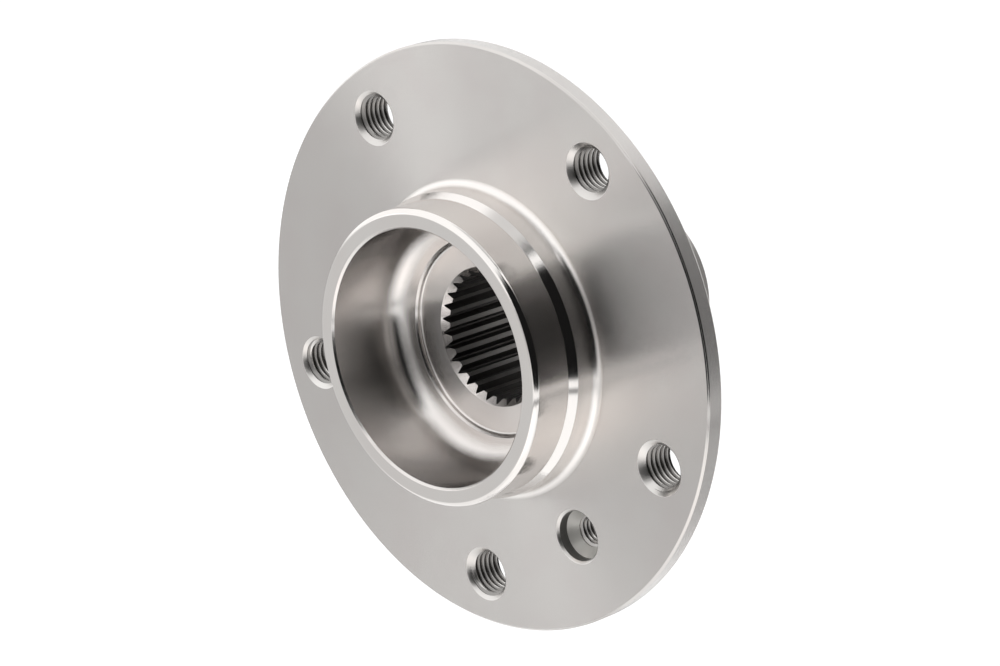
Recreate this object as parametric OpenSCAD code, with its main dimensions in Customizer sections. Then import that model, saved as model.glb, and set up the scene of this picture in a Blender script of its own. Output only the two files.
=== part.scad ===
// Driven wheel hub for a passenger car: one turned, drilled and broached steel forging.
// The forging is drawn as four sections that meet without a gap: the pilot spigot in front, the wheel
// flange, the bearing shoulder behind it and the splined journal. Nothing in it moves.
// The hub's axis lies along Y, with the wheel on the -Y side and the suspension on the +Y side.
// The origin is the centre of the bolt circle, on the flange face that the brake disc seats on.

/* [Flange] */
// Distance from the bolt circle out to the rim of the flange
rim_margin = 12.3; // [12:0.1:20]
// Thickness of the flange at the bolt holes
flange_t = 10; // [9:0.1:14]
// Width of the narrow bevel round the front edge of the rim
rim_front_bevel = 0.5; // [0.2:0.1:1]
// Radial width of the 45 degree bevel round the back edge of the rim
rim_back_bevel = 4.6; // [2:0.1:4.8]

/* [Wheel bolt holes] */
// Number of wheel bolts
bolt_count = 5; // [4:1:6]
// Diameter of the circle that the bolt holes lie on
bolt_circle_d = 120; // [112:0.5:130]
// Nominal diameter of the wheel bolt thread
bolt_thread_d = 12; // [10:0.5:12.4]
// Width of the countersink at each mouth of a bolt hole
bolt_countersink = 0.7; // [0.3:0.1:0.8]
// Angle of the first bolt hole above the horizontal
bolt_first_angle = -18; // [-36:1:36]

/* [Disc screw hole] */
// How far the disc retaining screw lies inside the bolt circle
screw_inset = 7.75; // [6:0.05:10]
// Nominal diameter of the retaining screw thread
screw_thread_d = 8; // [5:0.5:9]
// Diameter of the counterbore that clears the screw's head
screw_counterbore_d = 12.4; // [11:0.1:13]
// Depth of the counterbore below the flange face
screw_counterbore_depth = 3; // [1:0.1:4]
// Width of the countersink at the counterbore's mouth
screw_countersink = 0.55; // [0.2:0.05:0.8]

/* [Pilot rings] */
// Diameter of the spigot that centres the wheel
wheel_pilot_d = 72.5; // [64:0.1:80]
// Length of the spigot in front of the cone, with its bevel
wheel_pilot_length = 11; // [6:0.1:16]
// Width of the bevel round the front edge of the spigot
pilot_bevel = 1; // [0.4:0.1:1.6]
// How far the step that centres the brake disc stands above the wheel spigot
disc_step = 1.25; // [0.5:0.05:2]
// Length of the disc step, up to where it starts to narrow
disc_pilot_length = 6.1; // [4:0.1:8]
// Length of the cone between the disc step and the spigot
pilot_cone_length = 2; // [1:0.1:3]
// Radius of the fillet between the disc step and the flange face
pilot_root_fillet = 1.9; // [0.5:0.1:2.4]

/* [Cup] */
// Thickness of the wall between the cup and the wheel spigot
cup_wall = 4.75; // [3:0.05:7]
// Depth of the cup's floor behind the flange face
cup_floor = 2; // [0:0.1:4]
// Radius of the fillet between the cup's wall and its floor
cup_fillet = 5.5; // [2:0.1:6]
// Width of the bevel at the cup's mouth
cup_mouth_bevel = 0.5; // [0.2:0.1:0.9]
// Width of the flat ledge between the cup's fillet and the recess that the axle nut seats in
nut_ledge = 1.7; // [1:0.1:3]
// Depth of the nut recess below the cup's floor
nut_recess_depth = 1.4; // [1.2:0.1:3]
// Width of the edge break round the nut recess
nut_recess_edge = 0.45; // [0.2:0.05:0.5]
// Radius of the fillet at the bottom of the nut recess
nut_recess_fillet = 0.65; // [0.2:0.05:0.65]

/* [Splined bore] */
// Number of spline teeth
spline_teeth = 30; // [24:1:36]
// Diameter across the crests of the spline teeth
spline_crest_d = 31.4; // [29:0.1:32]
// Height of a spline tooth
spline_height = 1.2; // [0.8:0.05:1.3]
// Share of the pitch that a tooth's crest takes up
spline_crest_share = 0.36; // [0.25:0.01:0.45]
// Share of the pitch that the bottom of a gap takes up
spline_gap_share = 0.1; // [0.05:0.01:0.2]
// Clearance between the spline's root and the rim of its lead-in cone
spline_mouth_clearance = 0.4; // [0.1:0.05:0.6]
// Angle of the middle of the first gap above the horizontal
spline_first_angle = -2.8; // [-12:0.1:12]
// Length of the plain counterbore at the back end of the bore
back_counterbore_length = 8; // [4:0.5:14]
// Radial clearance between the spline's root and the plain counterbore
back_counterbore_clearance = 0.6; // [0.2:0.1:1]

/* [Bearing journal] */
// Diameter of the journal that the wheel bearing is pressed on
journal_d = 45; // [43:0.5:50]
// Distance from the bearing shoulder to the end of the journal
journal_length = 41.4; // [36:0.1:50]
// Width of the bevel that leads the bearing on
journal_bevel = 0.8; // [0.4:0.1:1.2]
// Depth of the grinding relief at the root of the journal
relief_depth = 0.3; // [0.1:0.05:0.5]
// Width of the grinding relief
relief_width = 2.5; // [1.5:0.1:4]
// How far the shoulder that the bearing stops on stands above the journal
shoulder_step = 6; // [4:0.1:9]
// Height of the shoulder above the back of the flange
shoulder_height = 6; // [4.5:0.1:9]
// Radius of the fillet between the shoulder and the back of the flange
shoulder_fillet = 4; // [1:0.1:4]
// Width of the bevel round the shoulder's face
shoulder_bevel = 0.4; // [0.2:0.1:0.5]

/* [Hidden] */
$fn = 96;
// Overlap that makes one cut run cleanly through a face or into another cut
over = 0.5;
// Depth that the root of the spigot and of the journal is let into the section that carries it
root_depth = 0.5;
flange_d = bolt_circle_d + 2 * rim_margin;
screw_circle_d = bolt_circle_d - 2 * screw_inset;
disc_pilot_d = wheel_pilot_d + 2 * disc_step;
pilot_reach = disc_pilot_length + pilot_cone_length + wheel_pilot_length;
cup_d = wheel_pilot_d - 2 * cup_wall;
nut_recess_d = cup_d - 2 * (cup_fillet + nut_ledge);
shoulder_d = journal_d + 2 * shoulder_step;
pilot_root_d = disc_pilot_d + 2 * pilot_root_fillet;
journal_root_d = journal_d - 2 * relief_depth;
// The screw's head seats on a 90 degree cone below the counterbore
screw_cone_end = screw_counterbore_depth + (screw_counterbore_d - screw_thread_d) / 2;
nut_seat = cup_floor + nut_recess_depth;
spline_root_d = spline_crest_d + 2 * spline_height;
spline_mouth_d = spline_root_d + 2 * spline_mouth_clearance;
shoulder_face = flange_t + shoulder_height;
journal_end = shoulder_face + journal_length;
back_counterbore_d = spline_root_d + 2 * back_counterbore_clearance;
back_counterbore_start = journal_end - back_counterbore_length;

steel = "#b9b5b0";

// Turns a shape drawn along +Z so that it runs along +Y from the given distance behind the flange face
module along_axis(start) {
    translate([0, start, 0]) rotate([-90, 0, 0]) children();
}

// Carries a shape out to a radius and round the axis, from +X towards +Z
module at_polar(radius, angle) {
    rotate([0, -angle, 0]) translate([radius, 0, 0]) children();
}

// Half section of a disc between two distances, with a 45 degree bevel on each outer corner
module disc_section(r, from, to, bevel_from = 0, bevel_to = 0) {
    polygon([
        [0, from],
        [r - bevel_from, from],
        [r, from + bevel_from],
        [r, to - bevel_to],
        [r - bevel_to, to],
        [0, to],
    ]);
}

// Section of the concave fillet in an outer corner: side is -1 for a face that looks to the front
module root_fillet(r, face, size, side) {
    difference() {
        translate([r - over, side > 0 ? face : face - size]) square([size + over, size]);
        translate([r + size, face + side * size]) circle(size);
    }
}

// Section of a round pocket that opens to the front, with a filleted bottom
module pocket_section(r, from, to, fillet) {
    translate([0, from]) square([r, to - fillet - from]);
    translate([0, from]) square([r - fillet, to - from]);
    translate([r - fillet, to - fillet]) circle(fillet);
}

// Section of a 45 degree edge break at the front mouth of a pocket of radius r
module mouth_section(r, face, width) {
    polygon([[0, face - over], [r + width + over, face - over], [r, face + width], [0, face + width]]);
}

// Section of the cup and of the nut recess in its floor
module cup_section() {
    pocket_section(cup_d / 2, -pilot_reach - over, cup_floor, cup_fillet);
    mouth_section(cup_d / 2, -pilot_reach, cup_mouth_bevel);
    pocket_section(nut_recess_d / 2, cup_floor - over, nut_seat, nut_recess_fillet);
    mouth_section(nut_recess_d / 2, cup_floor, nut_recess_edge);
}

// Outline of the gap between two spline teeth: wide at the crests and almost sharp at the root
module spline_gap() {
    pitch = 360 / spline_teeth;
    half_open = pitch * (1 - spline_crest_share) / 2;
    half_root = pitch * spline_gap_share / 2;
    crest_r = spline_crest_d / 2;
    root_r = spline_root_d / 2;
    polygon([
        [0, 0],
        [crest_r * cos(half_open), -crest_r * sin(half_open)],
        [root_r * cos(half_root), -root_r * sin(half_root)],
        [root_r * cos(half_root), root_r * sin(half_root)],
        [crest_r * cos(half_open), crest_r * sin(half_open)],
    ]);
}

// The broached bore: tooth gaps cut round a plain hole, a lead-in cone and a counterbore at the back
module splined_bore() {
    lead = (spline_mouth_d - spline_crest_d) / 2;
    along_axis(nut_seat - over) linear_extrude(journal_end - nut_seat + 2 * over) {
        circle(d = spline_crest_d);
        for (i = [0 : spline_teeth - 1])
            rotate(-spline_first_angle - i * 360 / spline_teeth) spline_gap();
    }
    along_axis(nut_seat - over)
        cylinder(d1 = spline_mouth_d + 2 * over, d2 = spline_crest_d, h = lead + over);
    along_axis(back_counterbore_start) cylinder(d = back_counterbore_d, h = back_counterbore_length + over);
    along_axis(journal_end - journal_bevel)
        cylinder(d1 = back_counterbore_d, d2 = back_counterbore_d + 2 * (journal_bevel + over), h = journal_bevel + over);
}

// One wheel bolt hole at its thread's nominal diameter, countersunk at both mouths
module bolt_hole() {
    wide_d = bolt_thread_d + 2 * (bolt_countersink + over);
    along_axis(-over) cylinder(d = bolt_thread_d, h = flange_t + 2 * over);
    along_axis(-over) cylinder(d1 = wide_d, d2 = bolt_thread_d, h = bolt_countersink + over);
    along_axis(flange_t - bolt_countersink)
        cylinder(d1 = bolt_thread_d, d2 = wide_d, h = bolt_countersink + over);
}

// The disc screw's hole: a counterbore, a 90 degree seat for its head and a tapped hole through the flange
module screw_hole() {
    wide_d = screw_counterbore_d + 2 * (screw_countersink + over);
    along_axis(-over) cylinder(d = screw_thread_d, h = flange_t + 2 * over);
    along_axis(-over) cylinder(d = screw_counterbore_d, h = screw_counterbore_depth + over);
    along_axis(-over) cylinder(d1 = wide_d, d2 = screw_counterbore_d, h = screw_countersink + over);
    along_axis(screw_counterbore_depth)
        cylinder(d1 = screw_counterbore_d, d2 = screw_thread_d, h = screw_cone_end - screw_counterbore_depth);
}

// The stepped ring in front: the wheel spigot, the cone and the larger step for the disc, round the cup
module pilot_spigot() {
    disc_r = disc_pilot_d / 2;
    color(steel) along_axis(0) rotate_extrude() difference() {
        union() {
            disc_section(wheel_pilot_d / 2, -pilot_reach, 0, pilot_bevel);
            polygon([
                [0, -disc_pilot_length - pilot_cone_length],
                [wheel_pilot_d / 2, -disc_pilot_length - pilot_cone_length],
                [disc_r, -disc_pilot_length],
                [disc_r, root_depth],
                [0, root_depth],
            ]);
            root_fillet(disc_r, 0, pilot_root_fillet, -1);
            disc_section(pilot_root_d / 2, 0, root_depth);
        }
        cup_section();
    }
}

// The drilled disc, with the cup's floor and the nut's seat turned into its middle
module wheel_flange() {
    color(steel) difference() {
        along_axis(0) rotate_extrude() difference() {
            disc_section(flange_d / 2, 0, flange_t, rim_front_bevel, rim_back_bevel);
            disc_section(pilot_root_d / 2, -over, root_depth);
            cup_section();
        }
        splined_bore();
        for (i = [0 : bolt_count - 1])
            at_polar(bolt_circle_d / 2, bolt_first_angle + i * 360 / bolt_count) bolt_hole();
        at_polar(screw_circle_d / 2, bolt_first_angle - 180 / bolt_count) screw_hole();
    }
}

// The raised ring behind the flange that the bearing's inner ring stops on
module bearing_shoulder() {
    color(steel) difference() {
        along_axis(0) rotate_extrude() {
            disc_section(shoulder_d / 2, flange_t, shoulder_face, 0, shoulder_bevel);
            root_fillet(shoulder_d / 2, flange_t, shoulder_fillet, 1);
        }
        along_axis(shoulder_face - root_depth) cylinder(d = journal_root_d, h = root_depth + over);
        splined_bore();
    }
}

// The ground tube behind the shoulder that carries the bearing and takes the drive shaft's spline
module splined_journal() {
    journal_r = journal_d / 2;
    color(steel) difference() {
        along_axis(0) rotate_extrude() difference() {
            disc_section(journal_r, shoulder_face - root_depth, journal_end, 0, journal_bevel);
            translate([journal_r - relief_depth, shoulder_face - root_depth - over])
                square([relief_depth + over, root_depth + relief_width + over]);
        }
        splined_bore();
    }
}

pilot_spigot();
wheel_flange();
bearing_shoulder();
splined_journal();
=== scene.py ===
"""A driven wheel hub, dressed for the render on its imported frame.

The real hub is one steel forging. Its four sections are turned here as closed solids that meet without
a visible seam, then drilled, tapped, broached and ground, and each stands for the CAD node it dresses.
The hub's axis is Y: the wheel is on the -Y side, and y = 0 is the face that the brake disc seats on.
Sizes are in millimetres and become metres where a mesh is made.
"""
import logging
import math
from dataclasses import dataclass
from enum import Enum

import bmesh
import bpy
from mathutils import Matrix, Vector


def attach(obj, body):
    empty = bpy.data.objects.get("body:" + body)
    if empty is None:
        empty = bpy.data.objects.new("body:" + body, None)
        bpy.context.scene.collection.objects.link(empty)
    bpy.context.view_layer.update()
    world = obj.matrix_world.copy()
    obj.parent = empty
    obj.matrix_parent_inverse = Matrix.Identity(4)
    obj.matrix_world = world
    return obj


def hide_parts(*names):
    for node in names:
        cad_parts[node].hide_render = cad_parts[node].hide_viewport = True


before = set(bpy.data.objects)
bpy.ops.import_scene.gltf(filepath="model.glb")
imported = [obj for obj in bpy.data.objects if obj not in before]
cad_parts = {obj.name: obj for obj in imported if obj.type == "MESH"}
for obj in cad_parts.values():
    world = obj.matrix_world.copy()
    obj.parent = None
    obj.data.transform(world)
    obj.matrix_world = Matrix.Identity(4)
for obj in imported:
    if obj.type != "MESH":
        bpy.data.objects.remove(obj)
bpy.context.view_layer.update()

MM = 0.001
SMOOTH_UP_TO = math.radians(21)
HOLE_STEPS = 96
BESIDE_ARC = 0.02
SAME_POINT = 0.001
log = logging.getLogger("wheel_hub")


class Lay(Enum):
    """The way a tool's marks run over a machined face."""

    ROUND = "round the hub's axis"
    ALONG = "along the hub's axis"
    PLAIN = "no visible direction"


class Sock:
    """One output socket. Sums, products and the like of sockets add Math nodes."""

    def __init__(self, graph: "Graph", socket: bpy.types.NodeSocket) -> None:
        """Keeps the socket and the graph that new nodes go into."""
        self.graph = graph
        self.socket = socket

    def math(self, operation: str, *others: "Sock | float", swap: bool = False) -> "Sock":
        """Adds a Math node.

        Args:
            operation: the Math node's operation.
            others: the second and third values.
            swap: whether this socket is the second value.

        Returns:
            The Math node's result.
        """
        values = [*others[:1], self, *others[1:]] if swap else [self, *others]
        return self.graph.add("ShaderNodeMath", {"operation": operation}, dict(enumerate(values)))

    def __add__(self, other: "Sock | float") -> "Sock":
        """Returns the sum."""
        return self.math("ADD", other)

    def __sub__(self, other: "Sock | float") -> "Sock":
        """Returns the difference."""
        return self.math("SUBTRACT", other)

    def __rsub__(self, other: float) -> "Sock":
        """Returns the difference from a plain number."""
        return self.math("SUBTRACT", other, swap=True)

    def __mul__(self, other: "Sock | float") -> "Sock":
        """Returns the product."""
        return self.math("MULTIPLY", other)

    def __truediv__(self, other: "Sock | float") -> "Sock":
        """Returns the quotient."""
        return self.math("DIVIDE", other)

    __radd__ = __add__
    __rmul__ = __mul__


class Graph:
    """Adds nodes to one node tree."""

    def __init__(self, tree: bpy.types.NodeTree) -> None:
        """Keeps the tree that the nodes go into."""
        self.tree = tree

    def add(self, kind: str, settings: dict | None = None, sockets: dict | None = None,
            out: str | int = 0) -> Sock:
        """Adds one node.

        Args:
            kind: the node's type.
            settings: the node's own properties, which are set first.
            sockets: values or links for its inputs, by name or number.
            out: the output that is wanted, by name or number.

        Returns:
            The wanted output, or the first input of a node that has no output.
        """
        node = self.tree.nodes.new(kind)
        for name, value in (settings or {}).items():
            setattr(node, name, value)
        for name, value in (sockets or {}).items():
            for part in value if isinstance(value, list) else [value]:
                if isinstance(part, Sock):
                    self.tree.links.new(part.socket, node.inputs[name])
                else:
                    node.inputs[name].default_value = part
        return Sock(self, node.outputs[out]) if len(node.outputs) else Sock(self, node.inputs[0])

    def vector(self, operation: str, *values: "Sock | tuple", out: str | int = 0) -> Sock:
        """Adds a Vector Math node and returns its output."""
        return self.add("ShaderNodeVectorMath", {"operation": operation}, dict(enumerate(values)), out)

    def scaled(self, vector: Sock, factor: "Sock | float") -> Sock:
        """Returns a vector times a number."""
        return self.add("ShaderNodeVectorMath", {"operation": "SCALE"}, {"Vector": vector, "Scale": factor})

    def between(self, factor: "Sock | float", low: "Sock | tuple", high: "Sock | tuple") -> Sock:
        """Returns a colour between two others."""
        settings = {"data_type": "RGBA", "clamp_factor": True}
        return self.add("ShaderNodeMix", settings, {0: factor, 6: low, 7: high}, out=2)

    def eased(self, value: Sock, start: float, end: float) -> Sock:
        """Returns a mask that rises smoothly from 0 at start to 1 at end."""
        sockets = {"Value": value, "From Min": start, "From Max": end}
        return self.add("ShaderNodeMapRange", {"interpolation_type": "SMOOTHSTEP"}, sockets)


@dataclass(frozen=True)
class MachinedSteel:
    """Bare machined steel, with the marks of the tool that cut it.

    The marks tilt the normal across their own direction, at a fine pitch, so that reflections are drawn
    out across them, as they are on a real turned or broached face.
    """

    name: str
    lay: Lay
    colour: tuple[float, float, float] = (0.62, 0.599, 0.58)
    stain: tuple[float, float, float] = (0.605, 0.577, 0.56)
    roughness: float = 0.16
    smudge: float = 0.05
    fine_tilt: float = 0.33
    fine_pitch: float = 0.1
    broad_tilt: float = 0.01
    broad_pitch: float = 0.9
    feed_slant: float = -1.37
    metallic: float = 1.0

    PATCH_SCALE = 55.0
    SMUDGE_SCALE = 240.0
    STREAK_SHRINK = 0.02

    def material(self) -> bpy.types.Material:
        """Builds the finish.

        Returns:
            The material, which is made once and found again by its name.
        """
        known = bpy.data.materials.get(self.name)
        if known:
            return known
        made = bpy.data.materials.new(self.name)
        made.use_nodes = True
        made.diffuse_color = (*self.colour, 1.0)
        tree = made.node_tree
        tree.nodes.clear()
        graph = Graph(tree)
        place = graph.add("ShaderNodeTexCoord", out="Object")
        patches = self._noise(graph, place, self.PATCH_SCALE, 2.0)
        smudges = self._noise(graph, place, self.SMUDGE_SCALE, 3.0)
        surface = {
            "Base Color": graph.between(graph.eased(patches, 0.35, 0.7), (*self.colour, 1), (*self.stain, 1)),
            "Metallic": self.metallic,
            "Roughness": self.roughness + self.smudge * (smudges - 0.5),
        }
        if self.lay is not Lay.PLAIN:
            surface["Normal"] = self._marked_normal(graph, place)
        shader = graph.add("ShaderNodeBsdfPrincipled", {}, surface)
        graph.add("ShaderNodeOutputMaterial", {}, {"Surface": shader})
        return made

    def _noise(self, graph: Graph, vector: Sock, scale: float, detail: float) -> Sock:
        """Returns a noise between 0 and 1 over a vector."""
        sockets = {"Vector": vector, "Scale": scale, "Detail": detail}
        return graph.add("ShaderNodeTexNoise", {"noise_dimensions": "3D"}, sockets)

    def _marked_normal(self, graph: Graph, place: Sock) -> Sock:
        """Tilts the normal across the tool's marks.

        Args:
            graph: the material's graph.
            place: the point on the piece.

        Returns:
            The world normal for the shader.
        """
        normal = graph.add("ShaderNodeTexCoord", out="Normal")
        x = graph.add("ShaderNodeSeparateXYZ", {}, {0: place}, "X")
        y = graph.add("ShaderNodeSeparateXYZ", {}, {0: place}, "Y")
        z = graph.add("ShaderNodeSeparateXYZ", {}, {0: place}, "Z")
        if self.lay is Lay.ROUND:
            along = graph.vector("NORMALIZE", graph.add("ShaderNodeCombineXYZ", {}, {"X": z, "Z": x * -1.0}))
            radius = (x * x + z * z).math("SQRT")
            mark_place = graph.add("ShaderNodeCombineXYZ", {}, {"X": radius, "Y": y})
            feed = (radius + y * self.feed_slant) / (self.fine_pitch * MM)
            fine = feed.math("FRACT") * 2.0 - 1.0
        else:
            along = (0.0, 1.0, 0.0)
            mark_place = graph.add("ShaderNodeCombineXYZ", {}, {"X": x, "Y": y * self.STREAK_SHRINK, "Z": z})
            fine = self._noise(graph, mark_place, 1.0 / (self.fine_pitch * MM), 1.0) - 0.5
        across = graph.vector("NORMALIZE", graph.vector("CROSS_PRODUCT", normal, along))
        broad = self._noise(graph, mark_place, 1.0 / (self.broad_pitch * MM), 2.0) - 0.5
        tilt = fine * self.fine_tilt + broad * self.broad_tilt
        tilted = graph.vector("NORMALIZE", graph.vector("ADD", normal, graph.scaled(across, tilt)))
        settings = {"vector_type": "NORMAL", "convert_from": "OBJECT", "convert_to": "WORLD"}
        return graph.add("ShaderNodeVectorTransform", settings, {0: tilted})


# Only the turned and the ground finishes keep the steel's own colour; the others are lighter or darker copies
# of it, which paint light and shade.
TURNED = MachinedSteel("turned_face", Lay.ROUND)
# Painted light: the spigot's front, lip and wheel seat in a lighter colour than the turned steel.
SMOOTH_PAINTED_LIGHT = MachinedSteel("smooth_face", Lay.ROUND, (0.77, 0.744, 0.72), (0.755, 0.72, 0.697), 0.1,
                       fine_tilt=0.06, feed_slant=1.37)
# Painted highlight: the disc seat and the root fillet round the spigot in a lighter colour than the turned
# steel.
FILLET_PAINTED_HIGHLIGHT = MachinedSteel("fillet_face", Lay.ROUND, (0.8, 0.773, 0.75), (0.785, 0.75, 0.727), 0.2,
                         fine_tilt=0.2, feed_slant=1.37)
# Painted shade: the flange's rim in a darker colour than the turned steel.
RIM_PAINTED_SHADE = MachinedSteel("rim_face", Lay.ROUND, (0.52, 0.503, 0.487), (0.505, 0.482, 0.467))
# Painted light: the cup's inside and the nut's seat in a lighter colour than the turned steel.
BORE_PAINTED_LIGHT = MachinedSteel("bored_face", Lay.ROUND, (0.69, 0.667, 0.648), (0.675, 0.643, 0.624), 0.16,
                      fine_tilt=0.23)
GROUND = MachinedSteel("ground_face", Lay.ROUND, roughness=0.2, fine_tilt=0.12, fine_pitch=0.03,
                       broad_tilt=0.02)
# Painted shade: the spline's gaps inside the bore in a near black colour.
BROACHED_PAINTED_SHADE = MachinedSteel("broached_face", Lay.ALONG, (0.13, 0.127, 0.123), (0.1, 0.097, 0.094), 0.34,
                         fine_tilt=0.3, fine_pitch=0.08)
# Painted shade: the teeth's crests inside the bore darker than the turned steel, less dark than the gaps.
CREST_PAINTED_SHADE = MachinedSteel("crest_face", Lay.ALONG, (0.36, 0.352, 0.344), (0.3, 0.293, 0.286), 0.3,
                        fine_tilt=0.2, fine_pitch=0.08)
# Painted light: the drilled faces of the holes in a lighter colour than the turned steel.
DRILLED_PAINTED_LIGHT = MachinedSteel("drilled_face", Lay.PLAIN, (0.7, 0.68, 0.66), (0.6, 0.58, 0.56), 0.33, 0.2)
# Painted shade: the wall of the screw's counterbore in a dark colour.
COUNTERBORE_PAINTED_SHADE = MachinedSteel("counterbored_face", Lay.PLAIN, (0.17, 0.165, 0.158), (0.13, 0.126, 0.12), 0.4,
                             metallic=0.3)
# Painted light: the screw hole's cone in a lighter colour than the turned steel.
COUNTERSINK_PAINTED_LIGHT = MachinedSteel("countersunk_face", Lay.PLAIN, (0.82, 0.805, 0.765), (0.7, 0.685, 0.65), 0.4,
                            metallic=0.3)
# Painted shade: the threads inside the holes in a dark colour.
TAPPED_PAINTED_SHADE = MachinedSteel("tapped_face", Lay.PLAIN, (0.3, 0.29, 0.28), (0.26, 0.25, 0.24), 0.3)


@dataclass(frozen=True)
class Corner:
    """A corner of a section: its distance from the axis and along it, and the radius that rounds it."""

    r: float
    y: float
    rounding: float = 0.12


def rounded(corners: list[Corner]) -> list[tuple[float, float]]:
    """Rounds the corners of a closed section.

    Close beside each arc lies a point on the straight side, so that flat faces keep flat normals.

    Args:
        corners: the corners in order; one with no rounding stays sharp.

    Returns:
        The section's points.
    """
    points: list[Vector] = []
    for number, corner in enumerate(corners):
        here = Vector((corner.r, corner.y))
        if not corner.rounding:
            points.append(here)
            continue
        before, after = corners[number - 1], corners[(number + 1) % len(corners)]
        back = (Vector((before.r, before.y)) - here).normalized()
        ahead = (Vector((after.r, after.y)) - here).normalized()
        half = back.angle(ahead) / 2
        reach = corner.rounding / math.tan(half)
        centre = here + (back + ahead).normalized() * (corner.rounding / math.sin(half))
        start = here + back * reach - centre
        turn = start.angle_signed(here + ahead * reach - centre)
        steps = max(3, math.ceil(abs(turn) / math.radians(5 if corner.rounding > 1 else 15)))
        points.append(here + back * (reach + BESIDE_ARC))
        for step in range(steps + 1):
            points.append(centre + Matrix.Rotation(-turn * step / steps, 2) @ start)
        points.append(here + ahead * (reach + BESIDE_ARC))
    kept = [point for number, point in enumerate(points) if (point - points[number - 1]).length > SAME_POINT]
    return [(point.x, point.y) for point in kept]


def spun(points: list[tuple[float, float]], centre: float) -> bpy.types.Mesh:
    """Turns an open section about an axis that lies along Y.

    Args:
        points: distances from the axis and along it; the first and the last lie on the axis.
        centre: the axis's distance from the hub's own axis, along X.

    Returns:
        A closed mesh in metres.
    """
    verts = [(centre * MM, points[0][1] * MM, 0.0), (centre * MM, points[-1][1] * MM, 0.0)]
    rings = points[1:-1]
    steps = HOLE_STEPS
    for r, y in rings:
        for step in range(steps):
            angle = math.tau * step / steps
            verts.append(((centre + r * math.cos(angle)) * MM, y * MM, r * math.sin(angle) * MM))
    faces = []
    for step in range(steps):
        other = (step + 1) % steps
        faces.append((0, 2 + step, 2 + other))
        for ring in range(len(rings) - 1):
            low, high = 2 + ring * steps, 2 + (ring + 1) * steps
            faces.append((low + step, high + step, high + other, low + other))
        last = 2 + (len(rings) - 1) * steps
        faces.append((1, last + other, last + step))
    return solid("cutter", verts, faces)


def solid(name: str, verts: list[tuple], faces: list[tuple]) -> bpy.types.Mesh:
    """Makes a mesh from points and faces, with its faces turned outwards.

    Args:
        name: the mesh's name.
        verts: the points, in metres.
        faces: each face's points, by number.

    Returns:
        The mesh.
    """
    mesh = bpy.data.meshes.new(name)
    mesh.from_pydata(verts, [], faces)
    edited = bmesh.new()
    edited.from_mesh(mesh)
    bmesh.ops.recalc_face_normals(edited, faces=edited.faces)
    edited.to_mesh(mesh)
    edited.free()
    return mesh


@dataclass(frozen=True)
class Thread:
    """A metric thread, by its nominal radius and its pitch."""

    nominal_r: float
    pitch: float

    DEPTH_SHARE = 0.5413
    FOOT_BELOW_BORE = 0.12
    TURN_STEPS = 48

    @property
    def minor_r(self) -> float:
        """The radius of the hole before it is tapped."""
        return self.nominal_r - self.DEPTH_SHARE * self.pitch

    def ridge(self, centre: float, start: float, end: float) -> bpy.types.Mesh:
        """Makes the winding ridge of a tap, which cuts the thread's groove.

        Args:
            centre: the hole's distance from the hub's axis.
            start: where the ridge begins, in front of the hole.
            end: where it ends, behind the hole.

        Returns:
            A closed mesh in metres.
        """
        foot_r = self.minor_r - self.FOOT_BELOW_BORE
        crest = self.pitch / 16
        foot = crest + (self.nominal_r - foot_r) * math.tan(math.radians(30))
        section = [(foot_r, -foot), (self.nominal_r, -crest), (self.nominal_r, crest), (foot_r, foot)]
        count = round((end - start) / self.pitch * self.TURN_STEPS)
        verts, faces = [], []
        for number in range(count + 1):
            angle = math.tau * number / self.TURN_STEPS
            y = start + self.pitch * number / self.TURN_STEPS
            for r, offset in section:
                x, z = centre + r * math.cos(angle), r * math.sin(angle)
                verts.append((x * MM, (y + offset) * MM, z * MM))
        for number in range(count):
            low = number * 4
            for side in range(4):
                other = (side + 1) % 4
                faces.append((low + side, low + other, low + 4 + other, low + 4 + side))
        faces.append((0, 1, 2, 3))
        faces.append(tuple(count * 4 + side for side in (3, 2, 1, 0)))
        return solid("tap", verts, faces)


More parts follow.
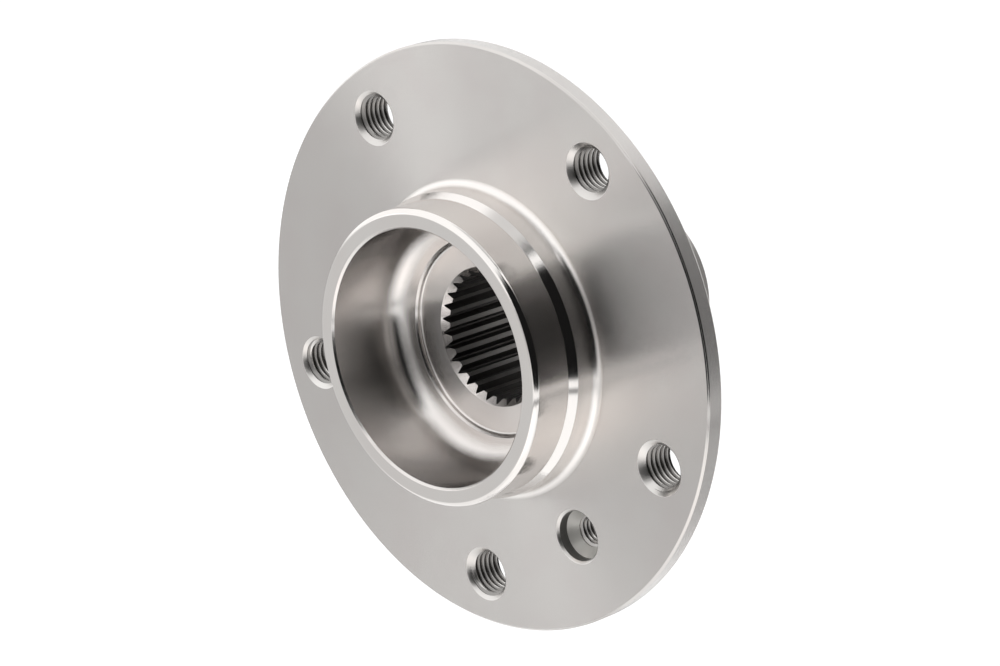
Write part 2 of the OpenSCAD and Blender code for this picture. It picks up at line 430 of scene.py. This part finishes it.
class Workshop:
    """The node trees that turn a section into a solid and cut a pattern of holes into it."""

    STEPS = 360
    SWING = 0.1
    FRONTWARD = 0.1

    def __init__(self) -> None:
        """Builds both trees."""
        self.lathe = self._lathe()
        self.pattern = self._pattern()

    def _tree(self, name: str, inputs: list[tuple[str, str]]) -> tuple[Graph, dict[str, Sock]]:
        """Starts a geometry tree with named inputs.

        Args:
            name: the tree's name.
            inputs: each input's name and socket type.

        Returns:
            The tree's graph, and its inputs by name.
        """
        tree = bpy.data.node_groups.new(name, "GeometryNodeTree")
        for label, kind in [("Geometry", "NodeSocketGeometry"), *inputs]:
            tree.interface.new_socket(label, in_out="INPUT", socket_type=kind)
        tree.interface.new_socket("Geometry", in_out="OUTPUT", socket_type="NodeSocketGeometry")
        graph = Graph(tree)
        node = tree.nodes.new("NodeGroupInput")
        return graph, {socket.name: Sock(graph, socket) for socket in node.outputs if socket.name}

    def _lathe(self) -> bpy.types.NodeTree:
        """Builds the tree that turns a closed section about the hub's axis.

        Returns:
            The tree.
        """
        graph, given = self._tree("turn a section", [
            ("Steps", "NodeSocketInt"), ("Swing", "NodeSocketFloat"), ("Steel", "NodeSocketMaterial")])
        section = graph.add("GeometryNodeMeshToCurve", {}, {"Mesh": given["Geometry"]})
        inward = graph.add("ShaderNodeCombineXYZ", {}, {"X": given["Swing"] * -1.0})
        section = graph.add("GeometryNodeTransform", {}, {"Geometry": section, "Translation": inward})
        path = graph.add("GeometryNodeCurvePrimitiveCircle", {},
                         {"Resolution": given["Steps"], "Radius": given["Swing"]})
        turned = graph.add("GeometryNodeCurveToMesh", {}, {"Curve": path, "Profile Curve": section})
        laid = graph.add("GeometryNodeTransform", {}, {"Geometry": turned, "Rotation": (math.pi / 2, 0, 0)})
        whole = graph.add("GeometryNodeRealizeInstances", {}, {0: laid})
        dressed = graph.add("GeometryNodeSetMaterial", {}, {"Geometry": whole, "Material": given["Steel"]})
        graph.add("NodeGroupOutput", {}, {0: dressed})
        return graph.tree

    def _pattern(self) -> bpy.types.NodeTree:
        """Builds the tree that cuts a tool's shape out of the piece, several times round the axis.

        Returns:
            The tree.
        """
        graph, given = self._tree("cut a pattern", [
            ("Tool", "NodeSocketObject"), ("Count", "NodeSocketInt"), ("First Angle", "NodeSocketFloat"),
            ("Steel", "NodeSocketMaterial")])
        mark = {"data_type": "BOOLEAN", "domain": "FACE"}
        work = graph.add("GeometryNodeStoreNamedAttribute", mark,
                         {"Geometry": given["Geometry"], "Name": "fresh cut", "Value": False})
        tool = graph.add("GeometryNodeObjectInfo", {}, {"Object": given["Tool"]}, "Geometry")
        tool = graph.add("GeometryNodeStoreNamedAttribute", mark,
                         {"Geometry": tool, "Name": "fresh cut", "Value": True})
        points = graph.add("GeometryNodePoints", {}, {"Count": given["Count"]})
        step = graph.add("ShaderNodeMath", {"operation": "DIVIDE"}, {0: -math.tau, 1: given["Count"]})
        angle = graph.add("GeometryNodeInputIndex") * step - given["First Angle"]
        turn = graph.add("ShaderNodeCombineXYZ", {}, {"Y": angle})
        turn = graph.add("FunctionNodeEulerToRotation", {}, {"Euler": turn})
        tools = graph.add("GeometryNodeInstanceOnPoints", {},
                          {"Points": points, "Instance": tool, "Rotation": turn})
        cut = graph.add("GeometryNodeMeshBoolean", {"operation": "DIFFERENCE", "solver": "MANIFOLD"},
                        {"Mesh 1": work, "Mesh 2": tools})
        whole = graph.add("GeometryNodeRealizeInstances", {}, {0: cut})
        fresh = graph.add("GeometryNodeInputNamedAttribute", {"data_type": "BOOLEAN"}, {"Name": "fresh cut"})
        dressed = graph.add("GeometryNodeSetMaterial", {},
                            {"Geometry": whole, "Selection": fresh, "Material": given["Steel"]})
        graph.add("NodeGroupOutput", {}, {0: dressed})
        return graph.tree

    def _modifier(self, piece: bpy.types.Object, tree: bpy.types.NodeTree, values: dict) -> None:
        """Adds a tree to a piece as a modifier.

        Args:
            piece: the piece.
            tree: the tree.
            values: what its inputs are set to, by their names.
        """
        modifier = piece.modifiers.new(tree.name, "NODES")
        modifier.node_group = tree
        for item in tree.interface.items_tree:
            if item.in_out == "INPUT" and item.name in values:
                modifier[item.identifier] = values[item.name]

    def turn(self, name: str, corners: list[Corner], steel: MachinedSteel) -> bpy.types.Object:
        """Starts a piece as a turned section.

        Args:
            name: the piece's name.
            corners: the section's corners.
            steel: the finish of the turned faces.

        Returns:
            The piece, with the turning still a modifier.
        """
        points = rounded(corners)
        mesh = bpy.data.meshes.new(name)
        edges = [(number, (number + 1) % len(points)) for number in range(len(points))]
        mesh.from_pydata([(r * MM, y * MM, 0.0) for r, y in points], edges, [])
        piece = bpy.data.objects.new(name, mesh)
        bpy.context.scene.collection.objects.link(piece)
        values = {"Steps": self.STEPS, "Swing": self.SWING, "Steel": steel.material()}
        self._modifier(piece, self.lathe, values)
        return piece

    def cut(self, piece: bpy.types.Object, tool: bpy.types.Mesh, count: int, first_angle: float,
            steel: MachinedSteel) -> None:
        """Cuts a tool's shape out of a piece, several times round the axis.

        Args:
            piece: the piece to cut.
            tool: the tool's mesh, which lies along +X.
            count: how many cuts go round the axis.
            first_angle: the first cut's angle from +X towards +Z, in degrees.
            steel: the finish of the cut faces, whose colour paints light or shade in the holes and the bore.
        """
        cutter = bpy.data.objects.new(tool.name, tool)
        values = {"Tool": cutter, "Count": count, "First Angle": math.radians(first_angle)}
        self._modifier(piece, self.pattern, {**values, "Steel": steel.material()})

    def _dress(self, mesh: bpy.types.Mesh, steel: MachinedSteel, from_r: float, to_r: float) -> None:
        """Gives faces between two distances from the axis their own colour, which paints light or shade on
        them, but not those that face back.

        Args:
            mesh: the piece's mesh.
            steel: the finish, a lighter or darker copy of the steel that paints light or shade.
            from_r: the distance where the faces begin.
            to_r: the distance where they end.
        """
        if steel.name not in mesh.materials:
            mesh.materials.append(steel.material())
        number = mesh.materials.find(steel.name)
        for face in mesh.polygons:
            if from_r * MM < math.hypot(face.center.x, face.center.z) < to_r * MM:
                face.material_index = number if face.normal.y < self.FRONTWARD else face.material_index

    def finish(self, piece: bpy.types.Object, node: str,
               dressed: tuple[tuple[MachinedSteel, float, float], ...] = ()) -> None:
        """Makes a piece a plain mesh and puts it in its CAD node's place.

        Args:
            piece: the piece, with its modifiers.
            node: the CAD node that it dresses.
            dressed: lighter or darker copies of the steel, which paint light and shade on parts of the piece,
                each between two distances from the axis.
        """
        view = bpy.context.evaluated_depsgraph_get()
        mesh = bpy.data.meshes.new_from_object(piece.evaluated_get(view), depsgraph=view)
        tools = [modifier[item.identifier] for modifier in piece.modifiers
                 for item in modifier.node_group.interface.items_tree
                 if item.in_out == "INPUT" and item.name == "Tool"]
        piece.modifiers.clear()
        piece.data = mesh
        mesh.name = piece.name
        for tool in tools:
            bpy.data.objects.remove(tool)
        for layer in [layer for layer in mesh.attributes if layer.name == "fresh cut"]:
            mesh.attributes.remove(layer)
        for steel, from_r, to_r in dressed:
            self._dress(mesh, steel, from_r, to_r)
        mesh.polygons.foreach_set("use_smooth", [True] * len(mesh.polygons))
        mesh.set_sharp_from_angle(angle=SMOOTH_UP_TO)
        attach(piece, "root")
        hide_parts(node)
        mesh.calc_loop_triangles()
        log.info("%s: %d faces, %d triangles", piece.name, len(mesh.polygons), len(mesh.loop_triangles))


@dataclass(frozen=True)
class PilotSpigot:
    """The stepped ring in front, which centres the wheel and the brake disc."""

    wheel_r: float = 36.25
    disc_r: float = 37.5
    cup_r: float = 31.5
    reach: float = 19.1
    disc_length: float = 6.1
    cone_length: float = 2.0
    bevel: float = 1.0
    lip_rounding: float = 1.1
    mouth_bevel: float = 0.5
    root_fillet: float = 1.9
    root_depth: float = 0.5
    cup_seam: float = -3.52

    @property
    def root_r(self) -> float:
        """Where the root fillet has run out into the flange face."""
        return self.disc_r + self.root_fillet + 0.02

    def build(self, shop: Workshop) -> bpy.types.Object:
        """Turns the ring.

        Args:
            shop: the workshop that turns it.

        Returns:
            The finished piece.
        """
        cone_y = -self.disc_length - self.cone_length
        corners = [
            Corner(self.cup_r, self.cup_seam, 0),
            Corner(self.cup_r, self.mouth_bevel - self.reach),
            Corner(self.cup_r + self.mouth_bevel, -self.reach),
            Corner(self.wheel_r - self.bevel, -self.reach, self.lip_rounding),
            Corner(self.wheel_r, self.bevel - self.reach, self.lip_rounding),
            Corner(self.wheel_r, cone_y, 0.4),
            Corner(self.disc_r, -self.disc_length, 0.15),
            Corner(self.disc_r, 0, self.root_fillet),
            Corner(self.root_r, 0, 0),
            Corner(self.root_r, self.root_depth, 0),
        ]
        piece = shop.turn("pilot_spigot_turned", corners, TURNED)
        wall, step = self.cup_r + 0.3, self.disc_r - 0.05
        # Painted light on the spigot's front, lip and wheel seat and inside its cup, and a painted highlight
        # on its root fillet.
        dressed = (SMOOTH_PAINTED_LIGHT, wall, step), (FILLET_PAINTED_HIGHLIGHT, step, self.root_r), (BORE_PAINTED_LIGHT, 0, wall)
        shop.finish(piece, "pilot_spigot", dressed)
        return piece


@dataclass(frozen=True)
class SplineBroach:
    """The broach that cuts the gaps between the spline's teeth, through three sections of the hub."""

    teeth: int = 30
    crest_r: float = 15.7
    root_r: float = 16.9
    crest_share: float = 0.36
    gap_share: float = 0.1
    first_angle: float = -2.8
    start: float = 1.0
    end: float = 54.0
    overlap: float = 0.3

    @property
    def crests(self) -> tuple[MachinedSteel, float, float]:
        """The teeth's crests' colour, which paints shade inside the bore, and the distances from the axis
        that they lie between.
        """
        return CREST_PAINTED_SHADE, self.crest_r - 0.1, self.crest_r + 0.02

    def tool(self) -> bpy.types.Mesh:
        """Makes the shape of one gap, a little deeper into the bore than the teeth reach.

        Returns:
            A closed mesh in metres.
        """
        half_open = math.pi * self.crest_r / self.teeth * (1 - self.crest_share)
        half_root = math.pi * self.root_r / self.teeth * self.gap_share
        foot_r = self.crest_r - self.overlap
        half_foot = half_open + (half_open - half_root) / (self.root_r - self.crest_r) * self.overlap
        outline = [(foot_r, -half_foot), (self.root_r, -half_root)]
        outline += [(self.root_r, half_root), (foot_r, half_foot)]
        verts = [(x * MM, y * MM, z * MM) for y in (self.start, self.end) for x, z in outline]
        faces = [(0, 1, 2, 3), (7, 6, 5, 4)]
        faces += [(side, (side + 1) % 4, (side + 1) % 4 + 4, side + 4) for side in range(4)]
        return solid("spline_gap", verts, faces)

    def cut(self, piece: bpy.types.Object, shop: Workshop) -> None:
        """Broaches the bore of a piece, with painted shade in a near black colour on the gaps' faces."""
        shop.cut(piece, self.tool(), self.teeth, self.first_angle, BROACHED_PAINTED_SHADE)


@dataclass(frozen=True)
class WheelFlange:
    """The drilled and tapped disc, with the cup's floor and the nut's seat in its middle."""

    rim_r: float = 72.3
    thickness: float = 10.0
    front_bevel: float = 0.5
    back_bevel_width: float = 5.5
    back_bevel_length: float = 5.7
    cup_floor: float = 2.0
    cup_fillet: float = 5.5
    nut_r: float = 24.3
    nut_depth: float = 1.4
    nut_edge: float = 0.45
    nut_fillet: float = 0.65
    mouth_r: float = 17.3
    bolt_thread: Thread = Thread(6.0, 1.5)
    bolt_circle_r: float = 60.0
    bolt_count: int = 5
    bolt_first_angle: float = -18.0
    bolt_mouth_r: float = 6.7
    bolt_back_edge: float = 0.45
    screw_thread: Thread = Thread(4.0, 1.25)
    screw_circle_r: float = 52.25
    screw_angle: float = -54.0
    screw_bore_r: float = 6.2
    screw_bore_depth: float = 3.0
    screw_edge: float = 0.55
    screw_back_edge: float = 0.6
    screw_tap_start: float = 1.5
    tap_overrun: float = 2.0

    def build(self, shop: Workshop, spigot: PilotSpigot, broach: SplineBroach,
              back_r: float) -> bpy.types.Object:
        """Turns the disc, then drills, taps and broaches it.

        Args:
            shop: the workshop that makes it.
            spigot: the ring in front, whose root it carries.
            broach: the broach for its bore.
            back_r: where the shoulder's fillet runs out into its back face.

        Returns:
            The finished piece.
        """
        seat = self.cup_floor + self.nut_depth
        lead = self.mouth_r - broach.crest_r
        corners = [
            Corner(spigot.root_r, 0, 0),
            Corner(self.rim_r - self.front_bevel, 0),
            Corner(self.rim_r, self.front_bevel),
            Corner(self.rim_r, self.thickness - self.back_bevel_length, 0.3),
            Corner(self.rim_r - self.back_bevel_width, self.thickness, 0.3),
            Corner(back_r, self.thickness, 0),
            Corner(broach.crest_r, self.thickness, 0),
            Corner(broach.crest_r, seat + lead, 0.2),
            Corner(self.mouth_r, seat, 0.06),
            Corner(self.nut_r, seat, self.nut_fillet),
            Corner(self.nut_r, self.cup_floor + self.nut_edge, 0.08),
            Corner(self.nut_r + self.nut_edge, self.cup_floor, 0.08),
            Corner(spigot.cup_r, self.cup_floor, self.cup_fillet),
            Corner(spigot.cup_r, spigot.cup_seam, 0),
            Corner(spigot.root_r, spigot.root_depth, 0),
        ]
        piece = shop.turn("wheel_flange_drilled", corners, TURNED)
        shop.cut(piece, self._drill(self.bolt_thread, self.bolt_circle_r, self.bolt_mouth_r),
                 self.bolt_count, self.bolt_first_angle, DRILLED_PAINTED_LIGHT)
        for tool, steel in self._screw_tools():
            shop.cut(piece, tool, 1, self.screw_angle, steel)
        broach.cut(piece, shop)
        tap_end = self.thickness + self.tap_overrun
        bolt_tap = self.bolt_thread.ridge(self.bolt_circle_r, -self.tap_overrun, tap_end)
        screw_tap = self.screw_thread.ridge(self.screw_circle_r, self.screw_tap_start, tap_end)
        shop.cut(piece, bolt_tap, self.bolt_count, self.bolt_first_angle, TAPPED_PAINTED_SHADE)
        shop.cut(piece, screw_tap, 1, self.screw_angle, TAPPED_PAINTED_SHADE)
        # Painted light inside the cup and on the nut's seat, and painted shade on the teeth's crests and on
        # the rim.
        bored = (BORE_PAINTED_LIGHT, broach.root_r + 0.02, spigot.cup_r)
        rim = (RIM_PAINTED_SHADE, self.rim_r - 0.01, self.rim_r + 0.01)
        shop.finish(piece, "wheel_flange", (bored, broach.crests, rim))
        return piece

    def _drill(self, thread: Thread, centre: float, mouth_r: float) -> bpy.types.Mesh:
        """Makes the shape of a through hole with a countersunk mouth and an edge break at its back.

        The second to the fourth point take the sharp edge off the mouth.

        Args:
            thread: the thread that is tapped into it later.
            centre: its distance from the hub's axis.
            mouth_r: its radius at the mouth.

        Returns:
            A closed mesh in metres.
        """
        minor, edge = thread.minor_r, self.bolt_back_edge
        back = self.thickness
        points = [(0, -1), (mouth_r + 0.55, -1), (mouth_r + 0.08, 0), (mouth_r - 0.12, 0.11)]
        points += [(minor, mouth_r - minor), (minor, back - edge), (minor + edge, back)]
        points += [(minor + edge + 1, back + 1), (0, back + 1)]
        return spun(points, centre)

    def _screw_tools(self) -> list[tuple[bpy.types.Mesh, MachinedSteel]]:
        """Makes the shapes that cut the disc screw's hole.

        Returns:
            The drill with its edge break, the counterbore and the countersink, each with its finish.
        """
        minor = self.screw_thread.minor_r
        bore, deep, edge = self.screw_bore_r, self.screw_bore_depth, self.screw_edge
        back, back_edge = self.thickness, self.screw_back_edge
        sunk, relief = bore - 0.02, self.screw_thread.nominal_r + 0.05
        cone_end = deep + sunk - relief
        drill = [(0, -1), (bore + edge + 0.5, -1), (bore + edge + 0.08, 0), (bore + edge - 0.1, 0.1)]
        drill += [(bore - 0.1, edge + 0.1), (relief, edge + 0.1), (relief, cone_end + 0.35)]
        drill += [(minor, cone_end + 0.5), (minor, back - back_edge), (minor + back_edge, back)]
        drill += [(minor + back_edge + 1, back + 1), (0, back + 1)]
        counterbore = [(0, -0.9), (bore, -0.9), (bore, deep), (0, deep)]
        countersink = [(0, -0.8), (sunk, -0.8), (sunk, deep)]
        countersink += [(relief - 0.3, cone_end + 0.3), (0, cone_end + 0.3)]
        outlines = (drill, DRILLED_PAINTED_LIGHT), (counterbore, COUNTERBORE_PAINTED_SHADE), (countersink, COUNTERSINK_PAINTED_LIGHT)
        return [(spun(outline, self.screw_circle_r), steel) for outline, steel in outlines]


@dataclass(frozen=True)
class BearingShoulder:
    """The raised ring behind the flange that the bearing stops on."""

    r: float = 28.5
    height: float = 6.0
    fillet: float = 4.0
    bevel: float = 0.4

    @property
    def back_r(self) -> float:
        """Where the fillet has run out into the flange's back face."""
        return self.r + self.fillet + 0.02

    def build(self, shop: Workshop, flange: WheelFlange, broach: SplineBroach,
              root_r: float) -> bpy.types.Object:
        """Turns the ring and broaches its bore.

        Args:
            shop: the workshop that makes it.
            flange: the flange that carries it.
            broach: the broach for its bore.
            root_r: the radius of the journal's relief, where its face begins.

        Returns:
            The finished piece.
        """
        foot = flange.thickness
        face = foot + self.height
        corners = [
            Corner(self.back_r, foot, 0),
            Corner(self.r, foot, self.fillet),
            Corner(self.r, face - self.bevel, 0.1),
            Corner(self.r - self.bevel, face, 0.1),
            Corner(root_r, face, 0),
            Corner(broach.crest_r, face, 0),
            Corner(broach.crest_r, foot, 0),
        ]
        piece = shop.turn("bearing_shoulder_turned", corners, TURNED)
        broach.cut(piece, shop)
        shop.finish(piece, "bearing_shoulder", (broach.crests,))
        return piece


@dataclass(frozen=True)
class SplinedJournal:
    """The ground tube that carries the bearing and takes the drive shaft's spline."""

    r: float = 22.5
    length: float = 41.4
    bevel: float = 0.8
    relief_depth: float = 0.3
    relief_width: float = 2.5
    counterbore_r: float = 17.5
    counterbore_length: float = 8.0

    @property
    def root_r(self) -> float:
        """The radius of the grinding relief."""
        return self.r - self.relief_depth

    def build(self, shop: Workshop, face: float, broach: SplineBroach) -> bpy.types.Object:
        """Turns, grinds and broaches the tube.

        Args:
            shop: the workshop that makes it.
            face: the distance of the shoulder's face from the flange face.
            broach: the broach for its bore.

        Returns:
            The finished piece.
        """
        end = face + self.length
        inner = end - self.counterbore_length
        corners = [
            Corner(self.root_r, face, 0),
            Corner(self.root_r, face + self.relief_width - self.relief_depth, 0.2),
            Corner(self.r, face + self.relief_width, 0.1),
            Corner(self.r, end - self.bevel, 0.15),
            Corner(self.r - self.bevel, end, 0.15),
            Corner(self.counterbore_r + self.bevel, end, 0.12),
            Corner(self.counterbore_r, end - self.bevel, 0.12),
            Corner(self.counterbore_r, inner, 0.2),
            Corner(broach.crest_r, inner, 0.1),
            Corner(broach.crest_r, face, 0),
        ]
        piece = shop.turn("splined_journal_ground", corners, GROUND)
        broach.cut(piece, shop)
        shop.finish(piece, "splined_journal", (broach.crests,))
        return piece


@dataclass(frozen=True)
class Panel:
    """A soft-edged part of the studio as the hub sees it, in degrees: a rounded rectangle in the view.

    The bearing is 0 straight ahead of the wheel side and grows to the right, and the height is 0 level
    with the hub. The slant lifts the panel's right end.
    """

    bearing: float
    height: float
    half_width: float
    half_height: float
    level: float
    softness: float = 0.25
    slant: float = 0.0
    tint: tuple[float, float, float] = (1.0, 1.0, 1.0)

    def mask(self, bearing: Sock, height: Sock) -> Sock:
        """Works out how much of the panel lies in a direction.

        Args:
            bearing: the direction's bearing, in degrees.
            height: the direction's height, in degrees.

        Returns:
            A mask from 0 to 1.
        """
        cos, sin = math.cos(math.radians(self.slant)), math.sin(math.radians(self.slant))
        across, above = bearing - self.bearing, height - self.height
        along = (across * cos + above * sin) / self.half_width
        over = (above * cos - across * sin) / self.half_height
        reach = (along.math("POWER", 4.0) + over.math("POWER", 4.0)).math("POWER", 0.25)
        return 1 - bearing.graph.eased(reach, 1 - self.softness, 1 + self.softness)


@dataclass(frozen=True)
class Studio:
    """The photographer's white tent, its dark opening round the camera, and the pale floor."""

    yaw: float = 44.741
    pitch: float = 18.327
    roll: float = -0.995
    distance: float = 0.915768
    lens: float = 138.06
    aim_right: float = 0.004371
    aim_up: float = 0.001739
    floor_z: float = -0.15
    floor_half: float = 3.0
    sheet_r: float = 0.03
    floor_glow: float = 0.2
    tent_level: float = 1.3
    panels: tuple[Panel, ...] = (
        Panel(0.0, 90.0, 400.0, 20.0, 0.8, 0.3),
        Panel(-62.0, -52.0, 60.0, 20.0, 1.1, 0.4),
        Panel(-62.0, -19.0, 75.0, 17.0, 0.72, 0.3),
        Panel(140.0, 12.0, 28.0, 34.0, 0.33, 0.4),
        Panel(155.0, -36.0, 45.0, 22.0, 0.62, 0.5),
        Panel(-1.0, 0.0, 14.0, 9.0, 0.55, 0.5, 24.0),
        Panel(66.0, 18.4, 54.0, 36.6, 0.01, 0.05),
        Panel(4.7, 44.1, 20.0, 16.0, 1.25, 0.45, 53.0),
        Panel(-53.0, 2.0, 6.0, 9.0, 1.6, 0.4),
        Panel(-135.0, -18.0, 14.0, 12.0, 0.15, 0.4),
        Panel(60.0, -25.5, 62.0, 1.8, 0.3, 0.6),
        Panel(50.0, 66.5, 60.0, 3.2, 0.08, 0.5),
        Panel(22.0, -42.0, 28.0, 13.0, 1.6, 0.5, 0.0, (1.0, 0.968, 0.948)),
    )

    def axes(self) -> tuple[Vector, Vector, Vector]:
        """Works out the camera's directions.

        Returns:
            The directions to its right, up and backward.
        """
        yaw, pitch, roll = (math.radians(angle) for angle in (self.yaw, self.pitch, self.roll))
        back = Vector((math.sin(yaw) * math.cos(pitch), -math.cos(yaw) * math.cos(pitch), math.sin(pitch)))
        level = Vector((math.cos(yaw), math.sin(yaw), 0.0))
        upright = back.cross(level)
        right = level * math.cos(roll) + upright * math.sin(roll)
        up = upright * math.cos(roll) - level * math.sin(roll)
        return right, up, back

    def camera(self) -> None:
        """Sets up the camera at the photograph's angle."""
        right, up, back = self.axes()
        place = right * self.aim_right + up * self.aim_up + back * self.distance
        data = bpy.data.cameras.new("photo_camera")
        data.lens = self.lens
        data.sensor_width = 36.0
        data.sensor_fit = "HORIZONTAL"
        data.clip_end = 20.0
        made = bpy.data.objects.new("photo_camera", data)
        made.matrix_world = Matrix.Translation(place) @ Matrix((right, up, back)).transposed().to_4x4()
        bpy.context.scene.collection.objects.link(made)
        bpy.context.scene.camera = made

    def tent(self) -> None:
        """Lights the scene with the tent."""
        world = bpy.data.worlds.new("white_tent")
        world.use_nodes = True
        world.node_tree.nodes.clear()
        graph = Graph(world.node_tree)
        towards = graph.add("ShaderNodeTexCoord", out="Generated")
        x, y, z = (graph.add("ShaderNodeSeparateXYZ", {}, {0: towards}, axis) for axis in "XYZ")
        bearing = x.math("ARCTAN2", y * -1.0) * math.degrees(1.0)
        height = z.math("ARCSINE") * math.degrees(1.0)
        level, colour = self.tent_level, (1.0, 1.0, 1.0, 1.0)
        for panel in self.panels:
            mask = panel.mask(bearing, height)
            level = level * (1 - mask) + panel.level * mask
            colour = graph.between(mask, colour, (*panel.tint, 1.0))
        seen = graph.add("ShaderNodeLightPath", out="Is Camera Ray")
        strength = level * (1 - seen) + seen
        colour = graph.between(seen, colour, (1.0, 1.0, 1.0, 1.0))
        light = graph.add("ShaderNodeBackground", {}, {"Color": colour, "Strength": strength})
        graph.add("ShaderNodeOutputWorld", {}, {"Surface": light})
        bpy.context.scene.world = world

    def floor(self) -> None:
        """Lays the plain pale floor below the hub.

        Away from the hub, the floor is left out of the hub's reflections, so that it mirrors the tent.
        """
        half = self.floor_half
        outline = (-half, -half), (half, -half), (half, half), (-half, half)
        verts = [(x, y, self.floor_z) for x, y in outline]
        mesh = bpy.data.meshes.new("floor")
        mesh.from_pydata(verts, [], [(0, 1, 2, 3)])
        made = bpy.data.objects.new("floor", mesh)
        bpy.context.scene.collection.objects.link(made)
        paper = bpy.data.materials.new("pale_floor")
        paper.use_nodes = True
        paper.node_tree.nodes.clear()
        graph = Graph(paper.node_tree)
        seen = graph.add("ShaderNodeLightPath", out="Is Camera Ray")
        mirrored = graph.add("ShaderNodeLightPath", out="Is Glossy Ray")
        colour = graph.between(seen + mirrored, (0.82, 0.82, 0.82, 1), (0.98, 0.98, 0.98, 1))
        glow = graph.between(seen, (0.0, 0.0, 0.0, 1), (self.floor_glow, self.floor_glow, self.floor_glow, 1))
        sheet = graph.add("ShaderNodeBsdfPrincipled", {}, {
            "Base Color": colour, "Roughness": 0.9, "Emission Color": glow, "Emission Strength": 1.0})
        place = graph.add("ShaderNodeTexCoord", out="Object")
        away = graph.vector("LENGTH", graph.vector("MULTIPLY", place, (1, 1, 0)), out="Value")
        beyond = mirrored * graph.eased(away, 0.8 * self.sheet_r, 1.2 * self.sheet_r)
        clear = graph.add("ShaderNodeBsdfTransparent")
        shader = graph.add("ShaderNodeMixShader", {}, {0: beyond, 1: sheet, 2: clear})
        graph.add("ShaderNodeOutputMaterial", {}, {"Surface": shader})
        mesh.materials.append(paper)

    def build(self) -> None:
        """Sets up the camera, the tent, the floor and the view's colours."""
        self.camera()
        self.tent()
        self.floor()
        bpy.context.scene.view_settings.view_transform = "Standard"


def main() -> None:
    """Builds the studio and the hub."""
    logging.basicConfig(level=logging.INFO, format="%(name)s: %(message)s")
    Studio().build()
    shop = Workshop()
    broach = SplineBroach()
    spigot = PilotSpigot()
    flange = WheelFlange()
    shoulder = BearingShoulder()
    journal = SplinedJournal()
    spigot.build(shop)
    flange.build(shop, spigot, broach, shoulder.back_r)
    shoulder.build(shop, flange, broach, journal.root_r)
    journal.build(shop, flange.thickness + shoulder.height, broach)


if __name__ == "__main__":
    main()
